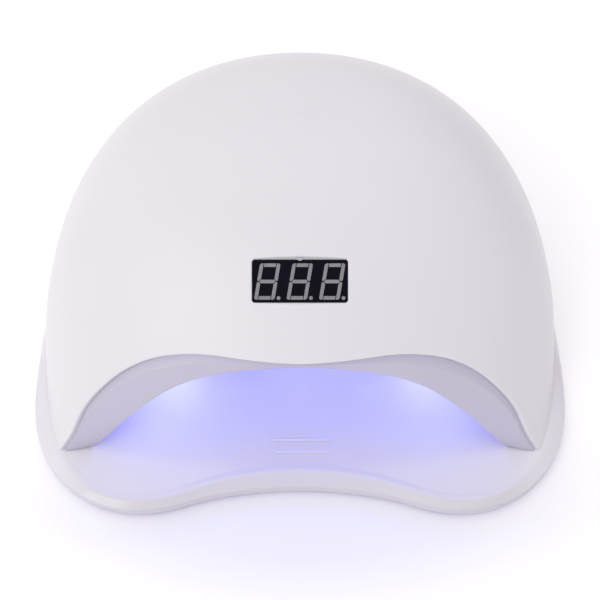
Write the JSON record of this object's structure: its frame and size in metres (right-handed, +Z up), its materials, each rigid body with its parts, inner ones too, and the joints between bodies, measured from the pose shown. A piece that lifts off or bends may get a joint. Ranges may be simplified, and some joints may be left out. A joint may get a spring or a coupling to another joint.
{
  "type": "nail lamp",
  "caption": "Domed LED nail lamp with an arched hand opening, a digital timer window and rear timer buttons, resting on a removable lobed tray.",
  "frame": {"origin": "middle of the footprint, on the surface that the rubber feet stand on", "axes": "+X to the right seen from the front, +Y towards the back with the buttons and inlet, +Z up; the hand goes in from -Y"},
  "size_m": [0.2362, 0.2048, 0.0998],
  "materials": {
    "tray_white": "gloss",
    "steel": "bright zinc",
    "magnet": "nickel plated",
    "rubber_grey": "matt",
    "shell_white": "semi-gloss",
    "liner_white": "semi-gloss",
    "led_body": "matt",
    "led_lens": "clear",
    "tin": "tinned",
    "pcb_white": "solder mask",
    "spacer": "matt",
    "pcb_green": "solder mask",
    "chip_black": "matt",
    "capacitor": "sleeved",
    "ferrite": "ferrite",
    "connector_white": "nylon",
    "display_black": "gloss",
    "segment_grey": "translucent",
    "sensor_clear": "clear",
    "sensor_dark": "gloss",
    "jack_black": "matt",
    "switch_body": "matt",
    "plunger": "matt",
    "button_white": "satin",
    "wire_red": "satin",
    "wire_white": "satin",
    "wire_black": "satin"
  },
  "bodies": {
    "tray": {"tray_top": "tray_white", "tray_bottom": "tray_white", "tray_screws": "steel", "tray_magnets": "magnet", "rubber_feet": "rubber_grey"},
    "housing": {"outer_shell": "shell_white", "inner_liner": "liner_white", "led_bases": "led_body", "led_lenses": "led_lens", "led_pins": "tin", "top_led_board": "pcb_white", "left_led_board": "pcb_white", "right_led_board": "pcb_white", "rear_led_board": "pcb_white", "led_board_spacers": "spacer", "led_board_screws": "steel", "main_board": "pcb_green", "main_board_screws": "steel", "controller_chip": "chip_black", "capacitors": "capacitor", "inductor": "ferrite", "power_transistors": "chip_black", "connectors": "connector_white", "display_module": "display_black", "display_segments": "segment_grey", "display_board": "pcb_green", "sensor_emitter": "sensor_clear", "sensor_receiver": "sensor_dark", "dc_jack_sleeve": "jack_black", "dc_jack_pin": "steel", "button_board": "pcb_green", "button_board_screws": "steel", "switch_bodies": "switch_body", "housing_screws": "steel", "housing_magnets": "magnet", "left_led_wires": "wire_red", "right_led_wires": "wire_red", "rear_led_wires": "wire_red", "top_led_wires": "wire_red", "display_wires": "wire_white", "power_wires": "wire_black", "button_wires": "wire_white"},
    "timer_10": {"button_10": "button_white", "plunger_10": "plunger"},
    "timer_30": {"button_30": "button_white", "plunger_30": "plunger"},
    "timer_60": {"button_60": "button_white", "plunger_60": "plunger"},
    "timer_99": {"button_99": "button_white", "plunger_99": "plunger"}
  },
  "joints": [
    {"name": "housing_lift", "type": "slide", "parent": "tray", "child": "housing", "axis": [0, 0, 1], "range_m": [0, 0.13]},
    {"name": "press_10", "type": "slide", "parent": "housing", "child": "timer_10", "axis": [0, -1, 0], "range_m": [0, 0.0005], "stiffness_N_per_m": 2000, "springref_m": -0.0002},
    {"name": "press_30", "type": "slide", "parent": "housing", "child": "timer_30", "axis": [0, -1, 0], "range_m": [0, 0.0005], "stiffness_N_per_m": 2000, "springref_m": -0.0002},
    {"name": "press_60", "type": "slide", "parent": "housing", "child": "timer_60", "axis": [0, -1, 0], "range_m": [0, 0.0005], "stiffness_N_per_m": 2000, "springref_m": -0.0002},
    {"name": "press_99", "type": "slide", "parent": "housing", "child": "timer_99", "axis": [0, -1, 0], "range_m": [0, 0.0005], "stiffness_N_per_m": 2000, "springref_m": -0.0002}
  ]
}
